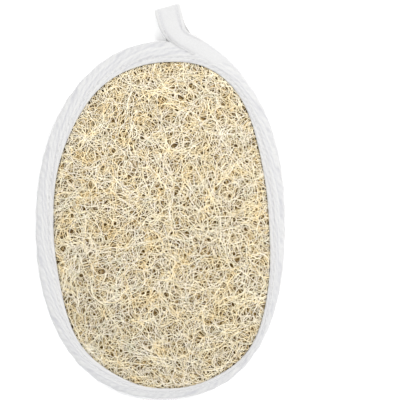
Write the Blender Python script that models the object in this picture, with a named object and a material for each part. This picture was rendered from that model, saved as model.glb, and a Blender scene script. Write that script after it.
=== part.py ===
"""Oval bath pad: a mat of natural loofah on a terry cloth back, bound in cotton tape.

The pad lies on its back with the loofah up. X is its width, Y its length towards the hanging loop, and Z is up.
The pad is slightly dished, as dried loofah is, so its bound rim rests flat and the elastic hand strap spans
the hollow under it. The hanging loop is the tail of the binding tape: it leaves the rim, folds over and comes
back under it, where its end is sewn on.
"""

import random
from math import copysign, cos, hypot, pi, radians, sin

import bpy
from mathutils import Vector, geometry

MM = 0.001

# Outline of the bound pad, and of the loofah that shows inside the binding
PAD_HALF_WIDTH = 62.4 * MM
PAD_HALF_LENGTH = 89.1 * MM
WINDOW_HALF_WIDTH = 53.3 * MM
WINDOW_HALF_LENGTH = 80.9 * MM
WINDOW_OFFSET = (1.6 * MM, -2.2 * MM)
PAD_SHAPE = {"exponent": 2.22, "fuller": 0.0215, "lean": 2.0 * MM}
WINDOW_SHAPE = {"exponent": 2.4, "fuller": 0.04, "lean": 4.0 * MM}

# Heights through the bound rim, from the surface that it rests on
TAPE = 0.9 * MM
CLEARANCE = 0.3 * MM
RIM_HEIGHT = 7.4 * MM
RIM_ROUNDING = 2.6 * MM
BACK_FLANGE = 8.0 * MM
EDGE_INSET = 3.0 * MM

# Hollow under the pad and the layers over it
DISH_DEPTH = 8.0 * MM
DISH_REACH = 0.87
DISH_FLATNESS = 4
DISH_EASING = 1.5
BACKING_AT_RIM = 1.6 * MM
BACKING_IN_MIDDLE = 2.6 * MM
MAT_IN_MIDDLE = 7.0 * MM
MAT_RISE_START = 0.985
MAT_FLATNESS = 6
MAT_ROUNDING = 0.6

# Net of fibre strands raised on the mat
STRAND_PITCH = 9.25 * MM
STRAND_STEP = 6.4 * MM
STRAND_STEPS = 4
STRAND_HALF_WIDTH = (0.75 * MM, 1.1 * MM)
STRAND_HEIGHT = (1.0 * MM, 1.7 * MM)
STRAND_TURN = radians(16)
STRAND_DIVE = 6
STRAND_LIMIT = 0.95
STRAND_FADE = 0.98
NET_SEED = 11

# Elastic hand strap
STRAP_WIDTH = 30.0 * MM
STRAP_THICKNESS = 1.1 * MM
STRAP_Y = -1.0 * MM
STRAP_END_INSET = 3.6 * MM
STRAP_FLOOR_GAP = 0.5 * MM
STRAP_SPANS = 16
STRAP_BULGE_SIDES = (19.0 * MM, 28.0 * MM)
STRAP_BULGE_REACH = (0.66, 0.84)

# Hanging loop
LOOP_WIDTH = 12.8 * MM
LOOP_ROOT_WIDTH = 7.6 * MM
LOOP_THICKNESS = 1.3 * MM
LOOP_FOLD = (2.75 * MM, 106.5 * MM)
LOOP_AXIS = radians(103.5)
LOOP_FOLD_RADIUS = 3.9 * MM
LOOP_FLOOR_GAP = 0.2 * MM
LOOP_BACK_LENGTH = 30.7 * MM
LOOP_ROUTE_MM = ((37.6, 72.2), (31.8, 76.9), (25.6, 81.2), (16.5, 86.8), (9.6, 90.4), (5.9, 95.0))
LOOP_SPANS_PER_POINT = 4
LOOP_BACK_SPANS = 6
LOOP_LEAVES_RIM = 0.70
LOOP_FULLY_WIDE = 0.35
LOOP_SEAM_LENGTH = 12.0 * MM
LOOP_LIFT = 2.1 * MM
LOOP_LIFT_REACH = 40.0 * MM

STATIONS = 64
GRID_RINGS = (0.86, 0.72, 0.56, 0.38, 0.19)
RISE_RINGS = (MAT_RISE_START, 0.955, 0.90)
MERGE_DISTANCE = 1e-7


class Oval:
    """A superellipse, fuller at its lower end, whose two ends lean to +X."""

    def __init__(self, half_width, half_length, centre, exponent, fuller, lean):
        self.half_width = half_width
        self.half_length = half_length
        self.centre = centre
        self.exponent = exponent
        self.fuller = fuller
        self.lean = lean

    def point(self, angle):
        power = 2 / self.exponent
        along = copysign(abs(sin(angle)) ** power, sin(angle))
        across = self.half_width * copysign(abs(cos(angle)) ** power, cos(angle))
        x = across * (1 - self.fuller * along) + self.lean * (along * along - 0.5)
        return Vector((self.centre[0] + x, self.centre[1] + self.half_length * along))

    def inward(self, angle):
        step = 0.01
        tangent = self.point(angle + step) - self.point(angle - step)
        return Vector((-tangent.y, tangent.x)).normalized()

    def inset(self, angle, distance):
        return self.point(angle) + self.inward(angle) * distance

    def reach(self, x, y):
        """0 at the centre, 1 on the outline."""
        along = (y - self.centre[1]) / self.half_length
        across = x - self.centre[0] - self.lean * (along * along - 0.5)
        across /= self.half_width * (1 - self.fuller * along)
        return (abs(across) ** self.exponent + abs(along) ** self.exponent) ** (1 / self.exponent)


PAD = Oval(PAD_HALF_WIDTH, PAD_HALF_LENGTH, (0.0, 0.0), **PAD_SHAPE)
WINDOW = Oval(WINDOW_HALF_WIDTH, WINDOW_HALF_LENGTH, WINDOW_OFFSET, **WINDOW_SHAPE)


def smoothstep(low, high, value):
    share = min(1.0, max(0.0, (value - low) / (high - low)))
    return share * share * (3 - 2 * share)


def station_angles():
    return [2 * pi * i / STATIONS for i in range(STATIONS)]


# Heights of the layers over a point of the plan

def loop_lift(x, y):
    """The rim rises a little over the loop's sewn end, so that both can lie on one surface."""
    sewn = loop_end() + loop_axis() * LOOP_SEAM_LENGTH / 2
    away = hypot(x - sewn.x, y - sewn.y) / LOOP_LIFT_REACH
    return LOOP_LIFT * (1 - away * away) ** 2 if away < 1 else 0.0


def dish(x, y):
    share = PAD.reach(x, y) / DISH_REACH
    return DISH_DEPTH * (1 - share**DISH_FLATNESS) ** DISH_EASING if share < 1 else 0.0


def strap_bulge(x, y):
    """The backing stands over the strap's ends, which lie between it and the binding."""
    clear_of_strap = smoothstep(*STRAP_BULGE_SIDES, abs(y - STRAP_Y))
    near_rim = smoothstep(*STRAP_BULGE_REACH, PAD.reach(x, y))
    return (STRAP_THICKNESS + CLEARANCE) * (1 - clear_of_strap) * near_rim


def backing_under(x, y):
    return TAPE + CLEARANCE + dish(x, y) + strap_bulge(x, y) + loop_lift(x, y)


def backing_over(x, y):
    share = min(1.0, PAD.reach(x, y) / DISH_REACH)
    thickness = BACKING_AT_RIM + (BACKING_IN_MIDDLE - BACKING_AT_RIM) * (1 - share**DISH_FLATNESS)
    return backing_under(x, y) + thickness


def mat_under(x, y):
    return backing_over(x, y) + CLEARANCE


def mat_over(x, y):
    """Pressed flat under the binding, the mat swells steeply inside it."""
    pressed = RIM_HEIGHT - TAPE - CLEARANCE + loop_lift(x, y)
    share = WINDOW.reach(x, y) / MAT_RISE_START
    swell = (1 - share**MAT_FLATNESS) ** MAT_ROUNDING if share < 1 else 0.0
    return pressed + (mat_under(x, y) + MAT_IN_MIDDLE - pressed) * swell


# Mesh helpers

def add_solid(name, points, faces, material, smooth_angle=radians(40)):
    mesh = bpy.data.meshes.new(name)
    mesh.from_pydata([tuple(p) for p in points], [], faces)
    mesh.validate()
    mesh.shade_smooth()
    mesh.set_sharp_from_angle(angle=smooth_angle)
    mesh.materials.append(material)
    solid = bpy.data.objects.new(name, mesh)
    bpy.context.scene.collection.objects.link(solid)
    return solid


def add_material(name, colour, roughness):
    material = bpy.data.materials.new(name)
    material.use_nodes = True
    shader = material.node_tree.nodes["Principled BSDF"]
    shader.inputs["Base Color"].default_value = (*colour, 1.0)
    shader.inputs["Roughness"].default_value = roughness
    shader.inputs["Metallic"].default_value = 0.0
    return material


def ring_faces(first, second, count):
    """Quads between two closed rings of points that start at these indices."""
    return [
        (first + i, first + (i + 1) % count, second + (i + 1) % count, second + i)
        for i in range(count)
    ]


def swept_solid(name, sections, material, closed):
    """A solid through equal closed sections, each a list of points, that turn anticlockwise ahead."""
    size = len(sections[0])
    points = [p for section in sections for p in section]
    faces = []
    spans = len(sections) if closed else len(sections) - 1
    for i in range(spans):
        faces += ring_faces(i * size, ((i + 1) % len(sections)) * size, size)
    if not closed:
        faces.append(tuple(reversed(range(size))))
        faces.append(tuple(range((len(sections) - 1) * size, len(sections) * size)))
    return add_solid(name, points, faces, material)


def plan_grid():
    """Rings of plan points from the layers' shared edge to the middle, and the point there."""
    angles = station_angles()
    edge = [PAD.inset(a, EDGE_INSET) for a in angles]
    middle = sum(edge, Vector((0, 0))) / len(edge)
    rings = [edge] + [[middle + (p - middle) * share for p in edge] for share in GRID_RINGS]
    return rings, middle


def halved(quads):
    """Triangles, so that layers over one plan keep the same creases and stay apart."""
    return [corners for a, b, c, d in quads for corners in ((a, b, c), (a, c, d))]


def grid_surface(height, first=0):
    """Points and upward faces over the plan grid. The first ring is the edge."""
    rings, middle = plan_grid()
    plan = [p for ring in rings for p in ring] + [middle]
    points = [(p.x, p.y, height(p.x, p.y)) for p in plan]
    faces = []
    for i in range(len(rings) - 1):
        faces += halved(ring_faces(first + i * STATIONS, first + (i + 1) * STATIONS, STATIONS))
    inner = first + (len(rings) - 1) * STATIONS
    centre = first + len(rings) * STATIONS
    faces += [(inner + i, inner + (i + 1) % STATIONS, centre) for i in range(STATIONS)]
    return points, faces


def turned(faces):
    return [tuple(reversed(face)) for face in faces]


# Terry cloth backing

def make_backing(material):
    upper, upper_faces = grid_surface(backing_over)
    lower, lower_faces = grid_surface(backing_under, len(upper))
    wall = ring_faces(len(upper), 0, STATIONS)
    return add_solid("terry_backing", upper + lower, upper_faces + turned(lower_faces) + wall, material)


# Loofah mat with its raised net

def strand_lines():
    """Centrelines of the strands: (points, half width, height), one from each cell of a jittered grid."""
    draw = random.Random(NET_SEED)
    columns = int(2 * PAD_HALF_WIDTH / STRAND_PITCH) + 1
    rows = int(2 * PAD_HALF_LENGTH / STRAND_PITCH) + 1
    lines = []
    for row in range(rows):
        for column in range(columns):
            x = (column + draw.random() - columns / 2) * STRAND_PITCH
            y = (row + draw.random() - rows / 2) * STRAND_PITCH
            heading = draw.uniform(0, 2 * pi)
            turn = draw.gauss(0, STRAND_TURN)
            half_width = draw.uniform(*STRAND_HALF_WIDTH)
            height = draw.uniform(*STRAND_HEIGHT)
            line = []
            for _ in range(STRAND_STEPS + 1):
                line.append(Vector((x, y)))
                x += STRAND_STEP * cos(heading)
                y += STRAND_STEP * sin(heading)
                heading += turn + draw.gauss(0, STRAND_TURN / 2)
            line = [p for p in line if WINDOW.reach(p.x, p.y) < STRAND_LIMIT]
            if len(line) > 1:
                lines.append((line, half_width, height))
    return lines


def beside(line, distance):
    """The line moved sideways."""
    moved = []
    for i, point in enumerate(line):
        ahead = line[min(i + 1, len(line) - 1)] - line[max(i - 1, 0)]
        side = Vector((-ahead.y, ahead.x)).normalized()
        moved.append(point + side * distance)
    return moved


def strand_height(point, line, half_width, height):
    """A tent over the strand's centreline, which dives into the mat at both ends."""
    best = 0.0
    spans = len(line) - 1
    for i in range(spans):
        along = line[i + 1] - line[i]
        share = min(1.0, max(0.0, (point - line[i]).dot(along) / along.length_squared))
        away = (point - line[i] - along * share).length
        dive = abs(2 * (i + share) / spans - 1) ** STRAND_DIVE
        best = max(best, height * (1 - dive) * (1 - away / half_width))
    return best


def net_height(point, lines):
    """The highest of the strands that cover this point."""
    longest = STRAND_STEP * STRAND_STEPS + STRAND_HALF_WIDTH[1]
    near = [line for line in lines if (point - line[0][0]).length < longest]
    return max((strand_height(point, *line) for line in near), default=0.0)


def net_triangles(lines):
    """A triangulation of the mat's plan that has every strand's crest and both its feet as edges."""
    points = [PAD.inset(a, EDGE_INSET) for a in station_angles()]
    edges = [(i, (i + 1) % STATIONS) for i in range(STATIONS)]
    for share in RISE_RINGS:
        start = len(points)
        middle = Vector(WINDOW_OFFSET)
        points += [middle + (WINDOW.point(a) - middle) * share for a in station_angles()]
        edges += [(start + i, start + (i + 1) % STATIONS) for i in range(STATIONS)]
    for line, half_width, _ in lines:
        for distance in (-half_width, 0.0, half_width):
            start = len(points)
            points += beside(line, distance)
            edges += [(start + i, start + i + 1) for i in range(len(line) - 1)]
    boundary = [tuple(range(STATIONS))]
    inside_faces = 1
    result = geometry.delaunay_2d_cdt(points, edges, boundary, inside_faces, MERGE_DISTANCE)
    return result[0], result[2]


def make_mat(material):
    lines = strand_lines()
    plan, triangles = net_triangles(lines)
    upper = []
    for p in plan:
        fade = smoothstep(STRAND_LIMIT, STRAND_FADE, WINDOW.reach(p.x, p.y))
        upper.append((p.x, p.y, mat_over(p.x, p.y) + net_height(p, lines) * (1 - fade)))
    lower, lower_faces = grid_surface(mat_under, len(upper))
    wall = ring_faces(len(upper), 0, STATIONS)
    faces = [tuple(f) for f in triangles] + turned(lower_faces) + wall
    return add_solid("loofah_mat", upper + lower, faces, material)


# Binding tape round the edge

def binding_section(angle):
    """The channel at one station, from the front flange's inner edge round the rim and back inside."""
    front_edge = WINDOW.point(angle)
    half = RIM_HEIGHT / 2

    def at(distance, height):
        plan = PAD.inset(angle, distance)
        return (plan.x, plan.y, height + loop_lift(*plan))

    def at_front_edge(height):
        return (front_edge.x, front_edge.y, height + loop_lift(*front_edge))

    section = [at_front_edge(RIM_HEIGHT), at(RIM_ROUNDING, RIM_HEIGHT)]
    for turn in (60, 30, 0, -30, -60):
        bulge = RIM_ROUNDING * (1 - cos(radians(turn)))
        section.append(at(bulge, half + half * sin(radians(turn))))
    section += [at(RIM_ROUNDING, 0.0), at(BACK_FLANGE, 0.0)]
    section += [at(BACK_FLANGE, TAPE), at(RIM_ROUNDING, TAPE)]
    for turn in (-45, 0, 45):
        bulge = TAPE + (RIM_ROUNDING - TAPE) * (1 - cos(radians(turn)))
        section.append(at(bulge, half + (half - TAPE) * sin(radians(turn))))
    section += [at(RIM_ROUNDING, RIM_HEIGHT - TAPE), at_front_edge(RIM_HEIGHT - TAPE)]
    return section


def make_binding(material):
    sections = [binding_section(a) for a in station_angles()]
    return swept_solid("edge_binding", sections, material, closed=True)


# Elastic hand strap

def make_strap(material):
    half_length = PAD_HALF_WIDTH - STRAP_END_INSET
    over_binding = TAPE + CLEARANCE
    low_y = STRAP_Y - STRAP_WIDTH / 2
    high_y = STRAP_Y + STRAP_WIDTH / 2
    sections = []
    for i in range(STRAP_SPANS + 1):
        across = -1 + 2 * i / STRAP_SPANS
        x = across * half_length - PAD.lean / 2
        sag = (over_binding - STRAP_FLOOR_GAP) * (1 - across**4)
        bottom = over_binding - sag
        top = bottom + STRAP_THICKNESS
        sections.append([(x, low_y, bottom), (x, high_y, bottom), (x, high_y, top), (x, low_y, top)])
    return swept_solid("hand_strap", sections, material, closed=False)


# Hanging loop

def loop_axis():
    return Vector((cos(LOOP_AXIS), sin(LOOP_AXIS)))


def loop_end():
    return Vector(LOOP_FOLD) - loop_axis() * LOOP_BACK_LENGTH


def smooth_route(route, per_span):
    """A Catmull-Rom curve through the points of the route."""
    ends = [route[0] * 2 - route[1], *route, route[-1] * 2 - route[-2]]
    curve = []
    for i in range(1, len(ends) - 2):
        a, b, c, d = ends[i - 1 : i + 3]
        for k in range(per_span):
            t = k / per_span
            pull = (c - a) * t + (a * 2 - b * 5 + c * 4 - d) * t**2 + (b * 3 - a - c * 3 + d) * t**3
            curve.append(b + pull * 0.5)
    return curve + [route[-1]]


def loop_front(fold_centre, top):
    """The tape from its root on the rim out to the fold: (plan, height, half across, half thickness)."""
    points = [Vector(p) * MM for p in LOOP_ROUTE_MM] + [fold_centre]
    route = smooth_route(points, LOOP_SPANS_PER_POINT)
    half_tape = LOOP_THICKNESS / 2
    last = len(route) - 1
    sections = []
    for i, plan in enumerate(route):
        ahead = route[min(i + 1, last)] - route[max(i - 1, 0)]
        if i == last:
            ahead = loop_axis()
        side = Vector((ahead.y, -ahead.x)).normalized()
        leaving = smoothstep(LOOP_LEAVES_RIM, 1.0, i / last)
        on_rim = RIM_HEIGHT + CLEARANCE + half_tape + loop_lift(*plan)
        height = on_rim + (top - on_rim) * leaving
        widening = smoothstep(0.0, LOOP_FULLY_WIDE, i / last)
        width = LOOP_ROOT_WIDTH + (LOOP_WIDTH - LOOP_ROOT_WIDTH) * widening
        sections.append((plan, height, side * width / 2, Vector((0, 0, half_tape))))
    return sections


def loop_sections():
    """The whole strip, from its root over the fold and back to the sewn end."""
    axis = loop_axis()
    half_tape = LOOP_THICKNESS / 2
    low = LOOP_FLOOR_GAP + half_tape
    fold_centre = Vector(LOOP_FOLD) - axis * (LOOP_FOLD_RADIUS + half_tape)
    fold_height = low + LOOP_FOLD_RADIUS
    sections = loop_front(fold_centre, fold_height + LOOP_FOLD_RADIUS)
    half_across = Vector((axis.y, -axis.x)) * LOOP_WIDTH / 2
    for turn in (30, 60, 90, 120, 150):
        up = cos(radians(turn))
        out = sin(radians(turn))
        plan = fold_centre + axis * LOOP_FOLD_RADIUS * out
        outward = Vector((axis.x * out, axis.y * out, up)) * half_tape
        sections.append((plan, fold_height + LOOP_FOLD_RADIUS * up, half_across, outward))
    for i in range(LOOP_BACK_SPANS + 1):
        plan = fold_centre.lerp(loop_end(), i / LOOP_BACK_SPANS)
        sections.append((plan, low, half_across, Vector((0, 0, -half_tape))))
    return sections


def make_loop(material):
    rows = []
    for plan, height, side, outward in loop_sections():
        middle = Vector((plan.x, plan.y, height))
        across = Vector((side.x, side.y, 0.0))
        near = middle - outward
        far = middle + outward
        rows.append([near + across, near - across, far - across, far + across])
    return swept_solid("hanging_loop", rows, material, closed=False)


def recentre(solids):
    """Puts the origin under the middle of the whole part, on the surface that it rests on."""
    corners = [v.co for solid in solids for v in solid.data.vertices]
    middle_x = (min(c.x for c in corners) + max(c.x for c in corners)) / 2
    middle_y = (min(c.y for c in corners) + max(c.y for c in corners)) / 2
    low = min(c.z for c in corners)
    for solid in solids:
        solid.location = (-middle_x, -middle_y, -low)


def main():
    for old in list(bpy.data.objects):
        bpy.data.objects.remove(old)
    loofah = add_material("loofah", (0.76, 0.62, 0.36), 0.9)
    terry = add_material("terry", (0.84, 0.84, 0.87), 0.95)
    cotton_tape = add_material("cotton_tape", (0.88, 0.88, 0.89), 0.85)
    elastic = add_material("elastic", (0.86, 0.87, 0.89), 0.7)
    solids = [
        make_mat(loofah),
        make_backing(terry),
        make_binding(cotton_tape),
        make_strap(elastic),
        make_loop(cotton_tape),
    ]
    recentre(solids)


main()
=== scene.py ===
"""Oval loofah bath pad lying on a pale floor with its loofah up, seen from straight above."""

import random
from math import cos, pi, radians, sin

import bpy
import numpy as np
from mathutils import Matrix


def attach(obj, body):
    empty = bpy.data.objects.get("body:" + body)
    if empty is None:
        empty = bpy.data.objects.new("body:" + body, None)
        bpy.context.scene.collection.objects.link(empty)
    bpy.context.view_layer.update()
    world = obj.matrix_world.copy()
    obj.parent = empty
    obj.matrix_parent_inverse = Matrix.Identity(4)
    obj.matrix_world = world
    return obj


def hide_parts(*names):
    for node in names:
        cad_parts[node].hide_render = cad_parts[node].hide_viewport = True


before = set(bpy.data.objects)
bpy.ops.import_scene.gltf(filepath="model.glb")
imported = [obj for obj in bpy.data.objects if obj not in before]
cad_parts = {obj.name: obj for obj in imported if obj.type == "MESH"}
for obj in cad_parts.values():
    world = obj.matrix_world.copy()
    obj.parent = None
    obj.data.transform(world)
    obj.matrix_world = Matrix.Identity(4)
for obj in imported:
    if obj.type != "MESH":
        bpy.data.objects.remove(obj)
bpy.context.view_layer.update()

MM = 0.001

# The part's own dimensions, as in its source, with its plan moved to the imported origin
SHIFT = np.array((1.0, -9.447)) * MM
TAPE = 0.9 * MM
CLEARANCE = 0.3 * MM
RIM_HEIGHT = 7.4 * MM
RIM_ROUNDING = 2.6 * MM
BACK_FLANGE = 8.0 * MM
DISH_DEPTH = 8.0 * MM
DISH_REACH = 0.87
DISH_FLATNESS = 4
DISH_EASING = 1.5
BACKING_AT_RIM = 1.6 * MM
BACKING_IN_MIDDLE = 2.6 * MM
MAT_IN_MIDDLE = 7.0 * MM
MAT_RISE_START = 0.985
MAT_FLATNESS = 6
MAT_ROUNDING = 0.6
STRAP_WIDTH = 30.0 * MM
STRAP_THICKNESS = 1.1 * MM
STRAP_Y = -1.0 * MM + SHIFT[1]
STRAP_HALF_LENGTH = 58.8 * MM
STRAP_FLOOR_GAP = 0.5 * MM
STRAP_BULGE_SIDES = (19 * MM, 28 * MM)
STRAP_BULGE_REACH = (0.66, 0.84)
LOOP_WIDTH = 12.8 * MM
LOOP_THICKNESS = 1.3 * MM
LOOP_FOLD = np.array((2.75, 106.5)) * MM + SHIFT
LOOP_ANGLE = radians(103.5)
LOOP_FOLD_RADIUS = 3.9 * MM
LOOP_FLOOR_GAP = 0.2 * MM
LOOP_BACK_LENGTH = 30.7 * MM
LOOP_SEAM_FROM_END = 6 * MM
LOOP_LIFT = 2.1 * MM
LOOP_LIFT_REACH = 40.0 * MM
LOOP_AXIS = np.array((cos(LOOP_ANGLE), sin(LOOP_ANGLE)))
LOOP_END = LOOP_FOLD - LOOP_AXIS * LOOP_BACK_LENGTH

# Each wave of an uneven edge: how many go round it, size as a share of the radius, phase
RIM_WAVER = (
    (0, 0.0021, 0.0), (1, 0.0055, 1.23), (2, 0.0025, -1.94),
    (3, 0.0025, 1.93), (4, 0.0018, 3.10), (5, 0.0023, -1.97),
)
WINDOW_WAVER = ((2, 0.006, 1.5), (4, 0.009, 1.5), (6, 0.0028, 1.6), (7, 0.004, -1.6), (8, 0.0045, 0.55))


def smooth(low, high, value):
    share = np.clip((value - low) / (high - low), 0, 1)
    return share * share * (3 - 2 * share)


def bell(value, centre, width):
    """1 at the centre, falling to nothing over about two widths on either side."""
    return np.exp(-(((value - centre) / width) ** 2))


def signed_power(value, power):
    return np.sign(value) * np.abs(value) ** power


def direction(angle):
    return np.stack((np.cos(angle), np.sin(angle)), -1)


def grid_points(xs, ys):
    return np.stack(np.meshgrid(xs, ys), -1).reshape(-1, 2)


def unit(vectors):
    return vectors / (np.linalg.norm(vectors, axis=-1, keepdims=True) + 1e-12)


def run_along(points):
    """How far along a line each of its points lies."""
    return np.concatenate(([0.0], np.cumsum(np.linalg.norm(np.diff(points, axis=0), axis=1))))


def raised(plan, z):
    return np.concatenate((plan, z[..., None]), -1)


class Oval:
    """A superellipse, fuller at its lower end, whose two ends lean to +X and whose edge wavers."""

    def __init__(self, half_width, half_length, centre, exponent, fuller, lean, waver):
        self.half_width = half_width
        self.half_length = half_length
        self.centre = centre
        self.exponent = exponent
        self.fuller = fuller
        self.lean = lean
        self.waver = waver

    def swell(self, angle):
        return 1 + sum(size * np.cos(number * angle + phase) for number, size, phase in self.waver)

    def point(self, angle):
        power = 2 / self.exponent
        swell = self.swell(angle)
        along = swell * signed_power(np.sin(angle), power)
        across = swell * self.half_width * signed_power(np.cos(angle), power)
        x = across * (1 - self.fuller * along) + self.lean * (along * along - 0.5)
        return np.stack((self.centre[0] + x, self.centre[1] + self.half_length * along), -1)

    def inward(self, angle):
        tangent = self.point(angle + 0.01) - self.point(angle - 0.01)
        return unit(np.stack((-tangent[..., 1], tangent[..., 0]), -1))

    def reach(self, x, y):
        """0 at the centre, 1 on the outline."""
        along = (y - self.centre[1]) / self.half_length
        across = x - self.centre[0] - self.lean * (along * along - 0.5)
        across = across / (self.half_width * (1 - self.fuller * along))
        away = (np.abs(across) ** self.exponent + np.abs(along) ** self.exponent) ** (1 / self.exponent)
        half = self.exponent / 2
        return away / self.swell(np.arctan2(signed_power(along, half), signed_power(across, half)))


# The pad's outline and the binding's inner edge, a little less regular than the source's
PAD = Oval(
    half_width=62.4 * MM, half_length=89.1 * MM, centre=SHIFT,
    exponent=2.22, fuller=0.0215, lean=2.0 * MM, waver=RIM_WAVER,
)
WINDOW = Oval(
    half_width=53.7 * MM, half_length=81.1 * MM, centre=SHIFT + np.array((1.5, -2.3)) * MM,
    exponent=2.41, fuller=0.045, lean=4.0 * MM, waver=WINDOW_WAVER,
)


# Surfaces of the pad's layers

def loop_lift(x, y):
    """The rim rises a little over the loop's sewn end."""
    seam = LOOP_END + LOOP_AXIS * LOOP_SEAM_FROM_END
    away = np.minimum(np.hypot(x - seam[0], y - seam[1]) / LOOP_LIFT_REACH, 1)
    return LOOP_LIFT * (1 - away * away) ** 2


def backing_under(x, y):
    share = np.minimum(PAD.reach(x, y) / DISH_REACH, 1)
    dish = DISH_DEPTH * (1 - share**DISH_FLATNESS) ** DISH_EASING
    over_strap = 1 - smooth(*STRAP_BULGE_SIDES, np.abs(y - STRAP_Y))
    bulge = (STRAP_THICKNESS + CLEARANCE) * over_strap * smooth(*STRAP_BULGE_REACH, PAD.reach(x, y))
    return TAPE + CLEARANCE + dish + bulge + loop_lift(x, y)


def mat_under(x, y):
    share = np.minimum(PAD.reach(x, y) / DISH_REACH, 1)
    thickness = BACKING_AT_RIM + (BACKING_IN_MIDDLE - BACKING_AT_RIM) * (1 - share**DISH_FLATNESS)
    return backing_under(x, y) + thickness + CLEARANCE


def mat_over(x, y):
    """Pressed flat under the binding, the mat swells steeply inside it."""
    pressed = RIM_HEIGHT - TAPE - CLEARANCE + loop_lift(x, y)
    share = np.minimum(WINDOW.reach(x, y) / MAT_RISE_START, 1)
    swell = (1 - share**MAT_FLATNESS) ** MAT_ROUNDING
    return pressed + (mat_under(x, y) + MAT_IN_MIDDLE - pressed) * swell


# Meshes from arrays

def add_piece(name, points, faces, material, tones=None):
    """A smooth mesh from points (n, 3) and a list of face arrays, riding on the part."""
    points = np.asarray(points, dtype=np.float32).reshape(-1, 3)
    mesh = bpy.data.meshes.new(name)
    mesh.vertices.add(len(points))
    mesh.vertices.foreach_set("co", points.ravel())
    corners = np.concatenate([f.ravel() for f in faces]).astype(np.int32)
    counts = np.concatenate([np.full(len(f), f.shape[1]) for f in faces]).astype(np.int32)
    starts = np.concatenate(([0], np.cumsum(counts)[:-1])).astype(np.int32)
    mesh.loops.add(len(corners))
    mesh.loops.foreach_set("vertex_index", corners)
    mesh.polygons.add(len(counts))
    mesh.polygons.foreach_set("loop_start", starts)
    mesh.polygons.foreach_set("loop_total", counts)
    mesh.update(calc_edges=True)
    mesh.validate()
    mesh.shade_smooth()
    if tones is not None:
        layer = mesh.color_attributes.new("tone", "FLOAT_COLOR", "POINT")
        layer.data.foreach_set("color", np.asarray(tones, dtype=np.float32).ravel())
    mesh.materials.append(material)
    piece = bpy.data.objects.new(name, mesh)
    bpy.context.scene.collection.objects.link(piece)
    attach(piece, "root")
    return piece


def grid_faces(rows, columns, wrap_rows=False, wrap_columns=False, flip=False):
    index = np.arange(rows * columns).reshape(rows, columns)
    down = np.roll(index, -1, 0)
    right = np.roll(index, -1, 1)
    both = np.roll(down, -1, 1)
    quads = np.stack((index, down, both, right), -1)
    quads = quads[: rows if wrap_rows else rows - 1, : columns if wrap_columns else columns - 1]
    quads = quads.reshape(-1, 4)
    return quads[:, ::-1] if flip else quads


def strip_faces(stations, size, flip=False):
    """Faces round a strip of closed sections, with both of its ends capped."""
    start_cap = np.arange(size)[None]
    end_cap = (stations - 1) * size + np.arange(size)[::-1][None]
    caps = [start_cap[:, ::-1], end_cap[:, ::-1]] if flip else [start_cap, end_cap]
    return [grid_faces(stations, size, wrap_columns=True, flip=flip), *caps]


def tubes(paths, radii, sides, keep=None):
    """Tubes round paths (count, points, 3) of radii (count, points).

    keep (count, points - 1) picks the spans between points that are built.
    """
    tangent = unit(np.gradient(paths, axis=1))
    side = unit(np.cross(tangent, (0.013, 0.017, 1.0)))
    lift = np.cross(side, tangent)
    turn = 2 * pi * np.arange(sides) / sides + pi / 2
    ring = np.cos(turn)[:, None] * side[:, :, None, :] + np.sin(turn)[:, None] * lift[:, :, None, :]
    points = paths[:, :, None, :] + radii[:, :, None, None] * ring
    index = np.arange(paths.shape[0] * paths.shape[1] * sides).reshape(paths.shape[0], paths.shape[1], sides)
    here = index[:, :-1]
    ahead = index[:, 1:]
    quads = np.stack((here, ahead, np.roll(ahead, -1, 2), np.roll(here, -1, 2)), -1)
    if keep is not None:
        quads = quads[keep]
    return points.reshape(-1, 3), quads.reshape(-1, 4)


def only_used(points, quads, *extras):
    used = np.unique(quads)
    renumber = np.zeros(len(points), dtype=np.int64)
    renumber[used] = np.arange(len(used))
    return (points[used], renumber[quads], *[e[used] for e in extras])


def open_sheet(x, y, z, inside, flip=False):
    """Points and faces of a surface over a grid, only where all four corners are inside."""
    faces = grid_faces(*x.shape, flip=flip)
    faces = faces[inside.ravel()[faces].all(axis=1)]
    return only_used(np.stack((x, y, z), -1).reshape(-1, 3), faces)


# Materials

def grey(value):
    return (value, value, value)


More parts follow.
